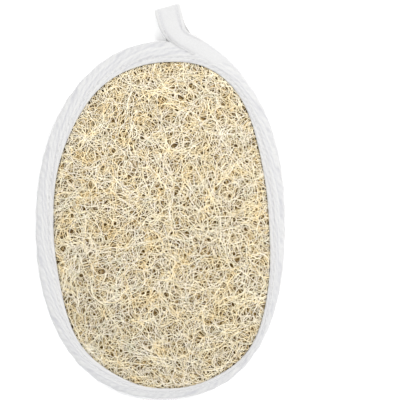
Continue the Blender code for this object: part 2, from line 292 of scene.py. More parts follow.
class Nodes:
    """Short names for the nodes that the materials are built from."""

    def __init__(self, name, roughness, sheen=0.0):
        self.material = bpy.data.materials.new(name)
        self.material.use_nodes = True
        self.tree = self.material.node_tree
        self.shader = self.tree.nodes["Principled BSDF"]
        self.fill(self.shader, {"Roughness": roughness, "Specular IOR Level": 0.25, "Sheen Weight": sheen})

    def fill(self, node, inputs):
        """Each socket linked to what feeds it, or set to its value."""
        for socket, value in inputs.items():
            if isinstance(value, bpy.types.NodeSocket):
                self.tree.links.new(value, node.inputs[socket])
            else:
                node.inputs[socket].default_value = value

    def add(self, kind, inputs, **settings):
        node = self.tree.nodes.new(kind)
        for key, value in settings.items():
            setattr(node, key, value)
        self.fill(node, inputs)
        return node.outputs

    def coordinates(self):
        return self.add("ShaderNodeTexCoord", {})["Object"]

    def tones(self):
        """The red, green and blue parts of the colours that a mesh carries as its tones."""
        colour = self.add("ShaderNodeVertexColor", {}, layer_name="tone")["Color"]
        return self.add("ShaderNodeSeparateColor", {"Color": colour})

    def noise(self, scale, detail, roughness=0.5):
        inputs = {"Scale": scale, "Detail": detail, "Roughness": roughness, "Vector": self.coordinates()}
        return self.add("ShaderNodeTexNoise", inputs)["Fac"]

    def bands(self, scale, distortion, detail):
        inputs = {"Scale": scale, "Distortion": distortion, "Detail": detail, "Vector": self.coordinates()}
        return self.add("ShaderNodeTexWave", inputs, wave_type="BANDS", bands_direction="X")["Fac"]

    def ramp(self, factor, *stops):
        node = self.tree.nodes.new("ShaderNodeValToRGB")
        while len(node.color_ramp.elements) < len(stops):
            node.color_ramp.elements.new(1.0)
        for element, (position, colour) in zip(node.color_ramp.elements, stops):
            element.position = position
            element.color = (*colour, 1.0)
        self.fill(node, {"Fac": factor})
        return node.outputs["Color"]

    def mix(self, factor, first, second, blend="MIX"):
        inputs = {0: factor, 6: first, 7: second}
        return self.add("ShaderNodeMix", inputs, data_type="RGBA", blend_type=blend)[2]

    def multiplied(self, strength, first, second):
        return self.mix(strength, first, second, "MULTIPLY")

    def scaled(self, factor, low, high):
        return self.add("ShaderNodeMapRange", {"Value": factor, "To Min": low, "To Max": high})["Result"]

    def sum(self, first, second):
        return self.add("ShaderNodeMath", {0: first, 1: second}, operation="ADD")["Value"]

    def colour(self, source):
        self.fill(self.shader, {"Base Color": source})

    def bump(self, height, distance, strength=1.0):
        inputs = {"Height": height, "Distance": distance, "Strength": strength}
        self.fill(self.shader, {"Normal": self.add("ShaderNodeBump", inputs)["Normal"]})


def fibre_material():
    """Straw coloured by each point's tone (red), tinted by its fibre's hue (green) and darkened towards the
    mat's lower end by its place (blue). Tone and place both carry painted shade.
    """
    nodes = Nodes("loofah_fibre", roughness=0.62)
    tones = nodes.tones()
    straw = nodes.ramp(
        tones["Red"],
        (0.0, (0.215, 0.124, 0.034)),
        (0.28, (0.570, 0.410, 0.165)),
        (0.58, (0.853, 0.739, 0.488)),
        (1.0, (0.973, 0.908, 0.733)),
    )
    place = nodes.scaled(nodes.noise(scale=115, detail=2.0, roughness=0.6), -0.82, 0.82)
    hue = nodes.ramp(
        nodes.sum(tones["Green"], place),
        (0.03, (1.0, 0.865, 0.62)),
        (0.28, (1.0, 0.972, 0.86)),
        (0.50, (1.0, 1.0, 1.0)),
        (0.74, (0.960, 0.950, 1.07)),
        (0.96, (0.905, 0.955, 0.97)),
    )
    tinted = nodes.multiplied(0.85, straw, hue)
    patch = nodes.scaled(nodes.noise(scale=100, detail=3.0, roughness=0.6), -0.22, 0.40)
    paled = nodes.mix(patch, tinted, (0.952, 0.908, 0.785, 1.0))
    specks = nodes.ramp(nodes.noise(scale=1400, detail=2.0), (0.3, grey(0.91)), (0.7, grey(1.0)))
    speckled = nodes.multiplied(0.8, paled, specks)
    # Painted shade: the mat a little darker towards its lower end, by the blue tone.
    lengthwise = nodes.ramp(tones["Blue"], (0.0, grey(0.90)), (0.5, grey(0.955)), (1.0, grey(0.985)))
    nodes.colour(nodes.multiplied(1.0, speckled, lengthwise))
    nodes.bump(nodes.noise(scale=5200, detail=1.0), distance=0.06 * MM, strength=0.6)
    return nodes.material


def base_material():
    nodes = Nodes("loofah_depth", roughness=0.9)
    # Dark brown: partly the felted middle's own colour, partly painted shade for the depth of the pores.
    shade = nodes.ramp(
        nodes.noise(scale=420, detail=4.0, roughness=0.65),
        (0.32, (0.100, 0.056, 0.016)),
        (0.50, (0.240, 0.152, 0.054)),
        (0.68, (0.440, 0.325, 0.145)),
    )
    nodes.colour(shade)
    nodes.bump(nodes.noise(scale=1500, detail=3.0, roughness=0.7), distance=0.6 * MM)
    return nodes.material


def tape_material():
    nodes = Nodes("cotton_twill_tape", roughness=0.85, sheen=0.75)
    grain = nodes.noise(scale=1700, detail=2.0, roughness=0.6)
    # The tone carries the yarn's own streaks and painted shade in the rib grooves.
    yarn = nodes.ramp(
        nodes.tones()["Red"],
        (0.0, (0.417, 0.417, 0.437)),
        (0.55, (0.496, 0.496, 0.499)),
        (1.0, (0.526, 0.526, 0.519)),
    )
    flecks = nodes.ramp(grain, (0.3, grey(0.88)), (0.65, grey(1.0)))
    nodes.colour(nodes.multiplied(0.6, yarn, flecks))
    nodes.bump(grain, distance=0.12 * MM, strength=0.55)
    return nodes.material


def thread_material():
    nodes = Nodes("sewing_thread", roughness=0.6)
    strands = nodes.noise(scale=2600, detail=1.0)
    nodes.colour(nodes.ramp(strands, (0.3, (0.516, 0.516, 0.520)), (0.7, (0.559, 0.559, 0.559))))
    nodes.bump(nodes.noise(scale=5000, detail=1.0), distance=0.06 * MM, strength=0.5)
    return nodes.material


def terry_material():
    nodes = Nodes("terry_cotton", roughness=0.95, sheen=0.25)
    tuft = nodes.noise(scale=900, detail=3.0, roughness=0.7)
    nodes.colour(nodes.ramp(tuft, (0.3, (0.470, 0.474, 0.488)), (0.65, (0.487, 0.490, 0.500))))
    nodes.bump(tuft, distance=0.22 * MM, strength=0.5)
    return nodes.material


def elastic_material():
    nodes = Nodes("woven_elastic", roughness=0.6, sheen=0.1)
    weave = nodes.bands(scale=330, distortion=1.2, detail=1.0)
    # The red tone is painted shade from the ribs: darker in their grooves, lighter on their tops.
    ribbed = nodes.ramp(nodes.tones()["Red"], (0.0, (0.375, 0.379, 0.390)), (0.8, (0.497, 0.501, 0.507)))
    woven = nodes.ramp(weave, (0.1, grey(0.93)), (0.7, grey(1.0)))
    specks = nodes.noise(scale=1300, detail=2.0, roughness=0.6)
    speckled = nodes.ramp(specks, (0.35, grey(0.93)), (0.65, grey(1.0)))
    nodes.colour(nodes.multiplied(0.8, nodes.multiplied(1.0, ribbed, woven), speckled))
    nodes.bump(weave, distance=0.12 * MM, strength=0.6)
    return nodes.material


# Pores of the loofah

PORE_SEED = 5
PORE_RANGE_X = (-60, 60)
PORE_RANGE_Y = (-100, 80)
SMALL_PORE = 0.8 * MM
SMALL_PORE_LIMIT = 0.985
WIDE_PORE_LIMIT = 0.93
PORE_GROWTH_WHERE_OPEN = 0.22
PORE_STRETCH = 1.3
PORE_TURN_SPREAD = 0.7
EDGE_PORE_SPACING = (1.6, 3.4)
EDGE_PORE_INSET = (0.5, 1.0)
EDGE_PORE_RADIUS = (0.42, 0.68)
EDGE_PORE_LEAST_DEPTH = 0.65
PORE_DEPTH_BLEND = 0.15


def openness(x, y):
    """A slow change over the mat, from 0 where the net is dense to 1 where it is open."""
    x, y = x / MM, y / MM
    waves = np.sin(0.19 * x + 1.3 * np.sin(0.11 * y)) + np.sin(0.16 * y + 1.1 * np.sin(0.14 * x + 2))
    return 0.5 + 0.25 * waves


def grain_angle(x, y):
    """The direction that pores and fibres favour at a place, which turns slowly over the mat."""
    x, y = x / MM, y / MM
    return 1.0 + 0.8 * np.sin(0.045 * x + 0.8) + 0.7 * np.sin(0.05 * y - 0.4)


class Pores:
    """Open pores that the fibres run round: wide ones set well apart, and small ones between them.

    A pore is open in the layers of the net whose depth is less than the pore's own.
    """

    def __init__(self, seed):
        self.draw = np.random.default_rng(seed)
        self.centres = np.empty((0, 2))
        self.radii = np.empty(0)
        self.scatter(tries=1500, smallest=0.85, widest=1.75, power=2.8, gap=2.6 * MM)
        wide_count = len(self.radii)
        edge_count = self.line_edge()
        self.scatter(tries=26000, smallest=0.32, widest=0.68, power=1.4, gap=0.58 * MM)
        count = len(self.radii)
        self.depths = self.draw.random(count)
        along_edge = slice(wide_count, wide_count + edge_count)
        deepened = (1 - EDGE_PORE_LEAST_DEPTH) * self.depths[along_edge]
        self.depths[along_edge] = EDGE_PORE_LEAST_DEPTH + deepened
        self.stretch = np.sqrt(1 + PORE_STRETCH * self.draw.random(count) ** 1.4)
        turn = grain_angle(*self.centres.T) + self.draw.normal(0, PORE_TURN_SPREAD, count)
        self.axis = direction(turn)

    def scatter(self, tries, smallest, widest, power, gap):
        """Pores at random places, each a gap or more from the others' rims. Radii are in millimetres."""
        for _ in range(tries):
            place = np.array((self.draw.uniform(*PORE_RANGE_X), self.draw.uniform(*PORE_RANGE_Y))) * MM
            radius = (smallest + (widest - smallest) * self.draw.random() ** power) * MM
            radius *= 0.92 + PORE_GROWTH_WHERE_OPEN * openness(*place)
            if WINDOW.reach(*place) > (SMALL_PORE_LIMIT if radius < SMALL_PORE else WIDE_PORE_LIMIT):
                continue
            away = np.hypot(self.centres[:, 0] - place[0], self.centres[:, 1] - place[1])
            if np.all(away > self.radii + radius + gap):
                self.centres = np.append(self.centres, [place], axis=0)
                self.radii = np.append(self.radii, radius)

    def line_edge(self):
        """A row of small pores just inside the binding's edge. Returns how many."""
        angles = np.linspace(0, 2 * pi, 4001)
        run = run_along(WINDOW.point(angles))
        more_than_enough = 400
        places = np.cumsum(self.draw.uniform(*EDGE_PORE_SPACING, more_than_enough)) * MM
        closing_gap = 2 * MM
        places = np.interp(places[places < run[-1] - closing_gap], run, angles)
        inset = self.draw.uniform(*EDGE_PORE_INSET, (len(places), 1)) * MM
        self.centres = np.append(self.centres, WINDOW.point(places) + WINDOW.inward(places) * inset, axis=0)
        self.radii = np.append(self.radii, self.draw.uniform(*EDGE_PORE_RADIUS, len(places)) * MM)
        return len(places)

    def part_round(self, plan, depth):
        """The plan points pushed out of the pores open at this depth, and how far each still sits in one."""
        open_here = smooth(depth - PORE_DEPTH_BLEND, depth + PORE_DEPTH_BLEND, self.depths)
        reach = self.radii * open_here + 1e-6
        flat = plan.reshape(-1, 2)
        offset = np.empty_like(flat)
        size = np.empty(len(flat))
        away = np.empty(len(flat))
        batch = 1200
        for start in range(0, len(flat), batch):
            block = slice(start, start + batch)
            part = flat[block]
            across = part[:, :1] - self.centres[:, 0]
            up = part[:, 1:] - self.centres[:, 1]
            lengthwise = (across * self.axis[:, 0] + up * self.axis[:, 1]) / self.stretch
            crosswise = (up * self.axis[:, 0] - across * self.axis[:, 1]) * self.stretch
            gaps = np.hypot(lengthwise, crosswise)
            best = (gaps - reach).argmin(axis=1)
            offset[block] = part - self.centres[best]
            size[block] = reach[best]
            away[block] = gaps[np.arange(len(part)), best]
        pushed = (away**4 + size**4) ** 0.25
        moved = flat + offset * ((pushed - away) / (away + 1e-9))[:, None]
        pit = bell(pushed / size, 0.0, 1.0) * (size > 0.1 * MM)
        return moved.reshape(plan.shape), pit.reshape(plan.shape[:-1])


# Fibres of the loofah

NET_LOW = np.array((-60, -100)) * MM
NET_HIGH = np.array((60, 82)) * MM
NET_START_LIMIT = 1.04
NET_LIMIT = 1.025
NET_RIM_LIMIT = 0.965
HEADING_SPREAD = 1.0
SNAKING = 1.3
SNAKING_RATE = (0.2, 0.6)
UNSTEADINESS = 0.35
WEAVE_SWING = 0.40 * MM
WEAVE_LENGTH = (3.5, 10.0)
LEVEL_SPREAD = 0.12 * MM
PIT_DROP = 0.9 * MM
END_DROP = 1.1 * MM
END_DROP_LENGTH = 1.2 * MM
END_TAPER = 1.7 * MM
FIBRE_THICKNESS = (0.75, 1.3)
FIBRE_SIDES = 3
# Painted light and shade round each fibre: its top point a little lighter, its two lower points darker.
UNDERSIDE_SHADE = np.array((0.07, -0.30, -0.30))
BUNDLE_STRANDS = 3
BUNDLE_SPREAD = (0.7, 1.9)
BUNDLE_TURNS = (4, 11)
BUNDLE_SPLAY = 2.4 * MM

# Lengths in millimetres: name, pitch, steps, step, curl, level, radius, tone, depth, seed
# Deeper layers get lower tones: partly their browner colour, partly painted shade.
NET_LAYERS = (
    ("loofah_fibres_deep", 3.3, 9, 1.6, 0.24, -1.50, 0.25, 0.34, 0.78, 21),
    ("loofah_fibres_low", 2.95, 14, 1.1, 0.20, -0.85, 0.22, 0.58, 0.52, 22),
    ("loofah_fibres_mid", 2.75, 16, 0.8, 0.14, -0.20, 0.19, 0.88, 0.25, 23),
    ("loofah_fibres_top", 2.85, 16, 0.8, 0.12, 0.38, 0.185, 1.00, 0.0, 24),
)


def wander(draw, starts, steps, step, curl):
    """Curving plan paths (count, steps + 1, 2), each with its middle near its start."""
    count = len(starts)
    heading = grain_angle(*starts.T) + draw.normal(0, HEADING_SPREAD, count)
    bend = draw.normal(0, curl, count)
    phase = draw.uniform(0, 2 * pi, count)
    rate = draw.uniform(*SNAKING_RATE, count)
    paths = np.empty((count, steps + 1, 2))
    point = starts.copy()
    for i in range(steps + 1):
        paths[:, i] = point
        point = point + step * direction(heading)
        snaking = SNAKING * curl * np.sin(phase + rate * i)
        heading = heading + bend + snaking + draw.normal(0, UNSTEADINESS * curl, count)
    return paths - paths.mean(axis=1, keepdims=True) + starts[:, None]


def jittered_starts(draw, pitch):
    xs = np.arange(NET_LOW[0], NET_HIGH[0], pitch)
    ys = np.arange(NET_LOW[1], NET_HIGH[1], pitch)
    grid = grid_points(xs, ys)
    grid = grid + draw.uniform(0, pitch, grid.shape)
    return grid[WINDOW.reach(*grid.T) < NET_START_LIMIT]


def weave_height(draw, shape, step):
    """A smooth rise and fall along each fibre, so that fibres pass over and under each other."""
    run = np.arange(shape[1]) * step
    length = draw.uniform(*WEAVE_LENGTH, (shape[0], 1)) * MM
    slow_phase = draw.uniform(0, 2 * pi, (shape[0], 1))
    quick_phase = draw.uniform(0, 2 * pi, (shape[0], 1))
    slow = 0.65 * np.sin(2 * pi * run / length + slow_phase)
    quick = 0.35 * np.sin(2 * pi * run / (0.43 * length) + quick_phase)
    return WEAVE_SWING * (slow + quick)


def net_surface(x, y):
    """The mat's face, which the binding's edge presses down only where it covers the mat."""
    edge = WINDOW.reach(x, y)
    brim = smooth(0.93, 0.975, edge) * (1 - smooth(0.988, 1.003, edge))
    return mat_over(x, y) + 0.6 * MM * brim


def settled(height, x, y):
    """Heights over the mat's face turned into places, with what stands up pressed down by the binding."""
    edge = WINDOW.reach(x, y)
    free = 1 - 0.7 * smooth(0.955, 0.985, edge) - 0.3 * smooth(0.985, 1.0, edge)
    tucked = 0.25 * MM * smooth(0.985, 1.003, edge)
    return net_surface(x, y) + np.where(height > 0, height * free, height) - tucked


def fibre_colours(draw, tone, pit, height, y):
    """Tone, hue and lengthwise place of every point round every fibre."""
    # Painted shade: points lower in the net and deeper in a pit get darker tones.
    tones = tone + draw.normal(0, 0.12, (len(y), 1)) - 0.35 * pit + 0.14 * height / MM
    # UNDERSIDE_SHADE paints shade on each fibre's lower sides and a little light on its top.
    tones = np.clip(tones[..., None] + UNDERSIDE_SHADE, 0, 1)
    hues = np.broadcast_to(np.clip(draw.normal(0.5, 0.22, (len(y), 1, 1)), 0, 1), tones.shape)
    # This lengthwise place later darkens the lower end of the mat, as painted shade.
    lengthwise = np.clip(0.5 + (y - WINDOW.centre[1]) / (2 * WINDOW.half_length), 0, 1)
    lengthwise = np.broadcast_to(lengthwise[..., None], tones.shape)
    return np.stack((tones, hues, lengthwise, np.ones_like(tones)), -1).reshape(-1, 4)


def add_fibres(name, paths, pores, material, step, level, radius, tone, depth, seed):
    """One layer of the net. level is its height over the mat's own face."""
    draw = np.random.default_rng(seed)
    plan, pit = pores.part_round(paths, depth)
    x, y = plan[..., 0], plan[..., 1]
    count, points = x.shape
    ends = np.minimum(np.arange(points), np.arange(points)[::-1]) * step
    height = level + draw.normal(0, LEVEL_SPREAD, (count, 1))
    height = height + weave_height(draw, x.shape, step) - PIT_DROP * pit
    height = height - END_DROP * bell(ends, 0.0, END_DROP_LENGTH)
    thick = draw.uniform(*FIBRE_THICKNESS, (count, 1)) * radius
    knots = np.sin(np.arange(points) * step / MM * 0.8 + draw.uniform(0, 6, (count, 1)))
    thick = thick * (1 + 0.14 * knots)
    thick = thick * (0.45 + 0.55 * np.minimum(ends / END_TAPER, 1))
    solid = (WINDOW.reach(x, y) < NET_LIMIT) & (PAD.reach(x, y) < NET_RIM_LIMIT)
    keep = solid[:, 1:] & solid[:, :-1]
    places = np.stack((x, y, settled(height, x, y)), -1)
    mesh_points, quads = tubes(places, thick, FIBRE_SIDES, keep)
    colours = fibre_colours(draw, tone, pit, height, y)
    mesh_points, quads, colours = only_used(mesh_points, quads, colours)
    add_piece(name, mesh_points, [quads], material, colours)


def strand_lines():
    """The source's strands, which the thick bundles of the net follow."""
    pitch = 9.25 * MM
    step = 6.4 * MM
    steps = 4
    turn_spread = radians(16)
    draw = random.Random(11)
    columns = int(2 * PAD.half_width / pitch) + 1
    rows = int(2 * PAD.half_length / pitch) + 1
    lines = []
    for row in range(rows):
        for column in range(columns):
            x = (column + draw.random() - columns / 2) * pitch
            y = (row + draw.random() - rows / 2) * pitch
            heading = draw.uniform(0, 2 * pi)
            turn = draw.gauss(0, turn_spread)
            # The source draws a strand's width and height here
            draw.random()
            draw.random()
            line = []
            for _ in range(steps + 1):
                line.append((x + SHIFT[0], y + SHIFT[1]))
                x += step * cos(heading)
                y += step * sin(heading)
                heading += turn + draw.gauss(0, turn_spread / 2)
            lines.append(line)
    return np.array(lines)


def refined(lines, per_span):
    """Catmull-Rom curves through every line's points."""
    before = 2 * lines[:, :1] - lines[:, 1:2]
    after = 2 * lines[:, -1:] - lines[:, -2:-1]
    ends = np.concatenate((before, lines, after), axis=1)
    curve = []
    for i in range(ends.shape[1] - 3):
        a, b, c, d = (ends[:, i + k] for k in range(4))
        for k in range(per_span):
            t = k / per_span
            pull = (c - a) * t + (2 * a - 5 * b + 4 * c - d) * t**2 + (3 * b - a - 3 * c + d) * t**3
            curve.append(b + pull * 0.5)
    curve.append(lines[:, -1])
    return np.stack(curve, 1)


def bundle_paths(draw):
    """Several loose fibres along every strand, which cross over each other as they go."""
    lines = refined(strand_lines(), 7)
    tangent = unit(np.gradient(lines, axis=1))
    side = np.stack((-tangent[..., 1], tangent[..., 0]), -1)
    run = np.linspace(0, 1, lines.shape[1])
    one_each = (len(lines), 1)
    paths = []
    for k in range(BUNDLE_STRANDS):
        spread = draw.uniform(*BUNDLE_SPREAD, one_each) * MM
        phase = 2 * pi * k / BUNDLE_STRANDS + draw.uniform(0, 2, one_each)
        sway = spread * np.sin(phase + draw.uniform(*BUNDLE_TURNS, one_each) * run)
        splay = draw.normal(0, BUNDLE_SPLAY, one_each) * (2 * run - 1) ** 3
        paths.append(lines + side * (sway + splay)[..., None])
    return np.concatenate(paths)


def make_loofah():
    pores = Pores(PORE_SEED)
    fibre = fibre_material()
    for name, pitch, steps, step, curl, level, radius, tone, depth, seed in NET_LAYERS:
        draw = np.random.default_rng(seed)
        paths = wander(draw, jittered_starts(draw, pitch * MM), steps, step * MM, curl)
        add_fibres(name, paths, pores, fibre, step * MM, level * MM, radius * MM, tone, depth, seed + 50)
    loose = bundle_paths(np.random.default_rng(31))
    add_fibres(
        "loofah_bundles", loose, pores, fibre,
        step=0.9 * MM, level=0.58 * MM, radius=0.18 * MM, tone=1.0, depth=0.05, seed=81,
    )
    make_loofah_base()


def make_loofah_base():
    """The close felted middle of the mat, seen only through the net's gaps."""
    spacing = 1.2 * MM
    under_face = 2.15 * MM
    xs = np.arange(-60 * MM, 61 * MM, spacing)
    ys = np.arange(-96 * MM, 78 * MM, spacing)
    x, y = np.meshgrid(xs, ys)
    lumps = 0.3 * MM * np.sin(x / MM * 1.7 + np.sin(y / MM)) * np.sin(y / MM * 1.3 + 2)
    z = mat_over(x, y) - under_face + lumps
    inside = (WINDOW.reach(x, y) < NET_START_LIMIT) & (PAD.reach(x, y) < NET_RIM_LIMIT)
    points, faces = open_sheet(x, y, z, inside, flip=True)
    base = add_piece("loofah_base", points, [faces], base_material())
    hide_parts("loofah_mat")


# Binding tape

ANGLES = np.linspace(0, 2 * pi, 8001)
RUN = run_along(PAD.point(ANGLES))
PERIMETER = RUN[-1]
RIM_SQUARENESS = 0.75
SEAM_FROM_EDGE = 2.2 * MM
CROWN = 0.45 * MM
SWELL = 0.09 * MM
SWELL_WAVES = 26
PUCKER = 0.10 * MM
RIB_COUNT = 122
STATIONS_PER_RIB = 8
RIB_DEPTH = 0.12 * MM
TWILL_SLANT = -1.9
YARN_SLANT = 0.12
FRONT_WIDTH = 6.5 * MM
ROUND_WIDTH = 9.2 * MM
BACK_WIDTH = 5.4 * MM
LIP_DROPS = np.array((0.75, 0.5, 0.26, 0.08)) * MM
LIP_OUTS = np.array((0.05, 0.26, 0.30, 0.18)) * MM
BACK_LIP_DROP = 0.8 * MM
STITCH_SPACING = 3.1 * MM
STITCH_LENGTH = 2.65 * MM
STITCH_HUMP = np.array((-0.28, 0.02, 0.13, 0.16, 0.13, 0.02, -0.28)) * MM
THREAD_RADIUS = 0.17 * MM
THREAD_SIDES = 6


def angle_at(run):
    return np.interp(np.mod(run, PERIMETER), RUN, ANGLES)


def ripple(run, waves, seed):
    """A smooth uneven wave round the rim, of about this many waves, that closes on itself."""
    draw = np.random.default_rng(seed)
    total = np.zeros_like(run)
    for _ in range(5):
        number = round(waves * draw.uniform(0.55, 1.5))
        total += np.sin(2 * pi * number * run / PERIMETER + draw.uniform(0, 2 * pi))
    return total / 2.2


def front_flange(run, share):
    """A point of the front flange, from its inner edge at share 0 to the rim's rounding at share 1."""
    angle = angle_at(run)
    inner = WINDOW.point(angle)
    outer = PAD.point(angle) + PAD.inward(angle) * RIM_ROUNDING
    plan = inner + (outer - inner) * share[..., None]
    away = share * np.linalg.norm(outer - inner, axis=-1)
    crown = CROWN * np.sin(pi * np.clip(share, 0, 1)) ** 0.8
    groove = -0.34 * MM * bell(away, SEAM_FROM_EDGE, 0.42 * MM)
    pucker = ripple(run, 74, seed=3) * PUCKER * bell(away, SEAM_FROM_EDGE, 2.1 * MM)
    swell = ripple(run, SWELL_WAVES, seed=4) * SWELL
    return raised(plan, RIM_HEIGHT + crown + groove + pucker + swell + loop_lift(plan[..., 0], plan[..., 1]))


def rim_round(run, turn):
    """A point of the rim's rounding. turn runs from pi / 2 at the front to -pi / 2 at the back."""
    angle = angle_at(run)
    uneven = 0.12 * MM * ripple(run, 40, seed=6)
    bulge = RIM_ROUNDING * (1 - np.cos(turn) ** RIM_SQUARENESS) + uneven * np.cos(turn)
    plan = PAD.point(angle) + PAD.inward(angle) * bulge[..., None]
    swell = ripple(run, SWELL_WAVES, seed=4) * SWELL * smooth(0.2, 1.0, np.sin(turn))
    rise = signed_power(np.sin(turn), RIM_SQUARENESS)
    return raised(plan, RIM_HEIGHT / 2 * (1 + rise) + swell + loop_lift(plan[..., 0], plan[..., 1]))


def back_flange(run, share):
    """A point of the back flange, from the rim's rounding at share 0 to its inner edge at share 1."""
    angle = angle_at(run)
    away = RIM_ROUNDING + (BACK_FLANGE - RIM_ROUNDING) * share
    plan = PAD.point(angle) + PAD.inward(angle) * away[..., None]
    from_edge = (BACK_FLANGE - RIM_ROUNDING) * (1 - share)
    groove = 0.30 * MM * bell(from_edge, SEAM_FROM_EDGE, 0.45 * MM)
    pucker = (1 + ripple(run, 70, seed=7)) * PUCKER * bell(from_edge, SEAM_FROM_EDGE, 1.6 * MM)
    return raised(plan, groove + np.maximum(pucker, 0) + loop_lift(plan[..., 0], plan[..., 1]))


def streaks(run, across, slope):
    """Uneven lines of yarn, 0 to 1, that run along a tape and slant a little over it."""
    place = across / MM + slope * run / MM
    sway = 0.9 * np.sin(0.21 * run / MM + 1.0) + 0.5 * np.sin(0.47 * run / MM)
    lines = np.sin(3.1 * place + sway)
    lines = lines + 0.8 * np.sin(5.3 * place - 1.3 * sway + 2)
    lines = lines + 0.6 * np.sin(1.3 * place + 0.7 * sway)
    return np.clip(0.55 + 0.22 * lines, 0, 1)


def streak_colours(tone):
    tone = tone.ravel()
    return np.stack((tone, tone, tone, np.ones_like(tone)), -1)


def lip(edge, run, drops, outs):
    """The tape's turned edge: copies of its last row let down by the drops and drawn out from the rim."""
    inward = PAD.inward(angle_at(run))
    lines = []
    for drop, out in zip(drops, outs):
        line = edge.copy()
        line[:, :2] += inward * out
        line[:, 2] -= drop
        lines.append(line)
    return np.stack(lines, 1)


def ribbed(skin, rib, flank):
    """The skin with its ribs pressed in. flank is a column of it that faces out from the pad."""
    along = np.roll(skin, -1, 0) - np.roll(skin, 1, 0)
    normal = unit(np.cross(along, np.gradient(skin, axis=1)))
    outward = skin[:, flank] - np.append(SHIFT, RIM_HEIGHT / 2)
    if np.sum(normal[:, flank] * outward) < 0:
        normal = -normal
    return skin + normal * (RIB_DEPTH * rib)[:, None, None]


def make_binding(material):
    front_shares = np.concatenate(([0.0, 0.02], np.linspace(0.07, 1.0, 15)))
    turns = np.linspace(pi / 2, -pi / 2, 12)[1:-1]
    back_shares = np.linspace(0.0, 1.0, 11)
    front_end = len(front_shares)
    back_start = front_end + len(turns)
    over_front = front_shares * FRONT_WIDTH
    over_round = FRONT_WIDTH + (1 - np.sin(turns)) * ROUND_WIDTH / 2
    over_back = FRONT_WIDTH + ROUND_WIDTH + back_shares * BACK_WIDTH
    across = np.concatenate((over_front, over_round, over_back))
    stations = RIB_COUNT * STATIONS_PER_RIB
    base_run = np.arange(stations) * PERIMETER / stations
    run = base_run[:, None] + TWILL_SLANT * across[None]
    rows = [
        front_flange(run[:, :front_end], front_shares),
        rim_round(run[:, front_end:back_start], turns),
        back_flange(run[:, back_start:], back_shares),
    ]
    rib = 0.5 * (np.cos(2 * pi * RIB_COUNT * base_run / PERIMETER) - 1)
    skin = ribbed(np.concatenate(rows, axis=1), rib, flank=front_end + 3)
    front_lip = lip(skin[:, 0], run[:, 0], LIP_DROPS, LIP_OUTS)
    back_drops = -np.append(LIP_DROPS[:0:-1], BACK_LIP_DROP)
    back_lip = lip(skin[:, -1], run[:, -1], back_drops, LIP_OUTS[::-1])
    skin = np.concatenate((front_lip, skin, back_lip), axis=1)
    faces = grid_faces(skin.shape[0], skin.shape[1], wrap_rows=True, flip=True)
    lip_rows = len(LIP_DROPS)
    run = np.pad(run, ((0, 0), (lip_rows, lip_rows)), mode="edge")
    across = np.pad(across, lip_rows, mode="edge")
    # The streaks are the yarn's own colour. The lowering in the rib grooves is painted shade.
    tone = streaks(run, across, YARN_SLANT) - 0.22 * np.maximum(-rib[:, None], 0)
    binding = add_piece("binding_tape", skin, [faces], material, streak_colours(tone))
    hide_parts("edge_binding")


def seam_stitches(name, surface, share_at, lift, material):
    """A row of thread stitches in a flange's groove. lift is 1 on the front and -1 on the back."""
    count = round(PERIMETER / STITCH_SPACING)
    starts = np.arange(count) * PERIMETER / count
    steps = np.linspace(0, STITCH_LENGTH, len(STITCH_HUMP))
    run = starts[:, None] + steps[None]
    paths = surface(run, share_at(run))
    paths[..., 2] += STITCH_HUMP * lift
    points, quads = tubes(paths, np.full(run.shape, THREAD_RADIUS), THREAD_SIDES)
    add_piece(name, points, [quads], material)


def make_seams(material):
    def front_share(run):
        angle = angle_at(run)
        outer = PAD.point(angle) + PAD.inward(angle) * RIM_ROUNDING
        return SEAM_FROM_EDGE / np.linalg.norm(outer - WINDOW.point(angle), axis=-1)

    def back_share(run):
        return np.full_like(run, 1 - SEAM_FROM_EDGE / (BACK_FLANGE - RIM_ROUNDING))

    seam_stitches("front_seam_thread", front_flange, front_share, 1.0, material)
    seam_stitches("back_seam_thread", back_flange, back_share, -1.0, material)


# Hanging loop

LOOP_SHIFT = np.array((0.6, -0.3)) * MM
LOOP_ROOT_WIDTH = 8.4 * MM
LOOP_FOLD_WIDTH = 13.2 * MM
LOOP_FOLD_AXIS = direction(radians(105.0))
LOOP_BACK_ASIDE = np.array((2.0, 0.0)) * MM
LOOP_STITCH_SHARE = 0.68
LOOP_STITCH_START = 30 * MM
LOOP_STITCH_SPACING = 3.0 * MM
LOOP_STITCH_LENGTH = 2.4 * MM
LOOP_STITCH_HUMP = np.array((-0.22, 0.02, 0.09, 0.09, 0.02, -0.22)) * MM
LOOP_THREAD_RADIUS = 0.15 * MM

# Plan points of the loop in millimetres, from its root on the rim to just before the fold
LOOP_ROUTE = ((41.5, 67.6), (37.6, 72.2), (31.8, 76.9), (25.6, 81.2), (16.5, 86.8), (9.6, 90.4), (5.9, 95.0))
LOOP_SPAN_ROWS = 10
LOOP_ROUTE_ROWS = len(LOOP_ROUTE) * LOOP_SPAN_ROWS + 1
LOOP_FOLD_ROWS = 17
LOOP_BACK_ROWS = 34


def evened(values, width):
    """Each row replaced by the mean of the rows about it."""
    padded = np.pad(values, ((width // 2, width // 2), (0, 0)), mode="edge")
    return np.stack([np.convolve(column, np.ones(width) / width, "valid") for column in padded.T], -1)


